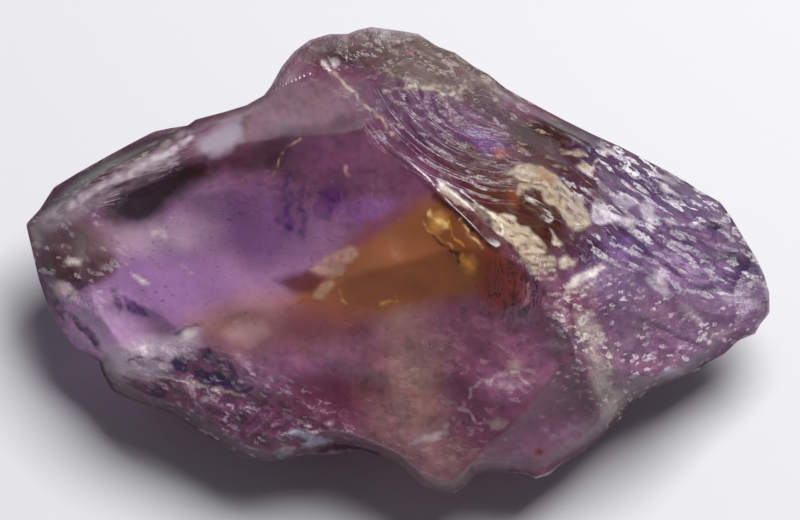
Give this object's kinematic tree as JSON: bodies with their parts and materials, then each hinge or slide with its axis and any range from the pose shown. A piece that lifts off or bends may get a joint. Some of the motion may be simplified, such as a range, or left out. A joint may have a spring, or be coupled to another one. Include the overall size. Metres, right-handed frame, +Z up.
{
  "type": "rough ametrine",
  "caption": "Rough lump of clear quartz, violet with an amber wedge, bounded by broken faces, shell-shaped scars and hackly steps; a loose mineral specimen that lies on a flat fracture face",
  "frame": {"origin": "middle of the stone's footprint box, on the plane that it lies on", "axes": "+X along the stone, from its blunt glassy tip to its hackly lobe; +Y away from the viewer; +Z up"},
  "size_m": [0.052, 0.0324, 0.02],
  "materials": {
    "ametrine_quartz": "broken clear crystal, violet and amber"
  },
  "bodies": {
    "root": {"ametrine": "ametrine_quartz"}
  },
  "joints": []
}
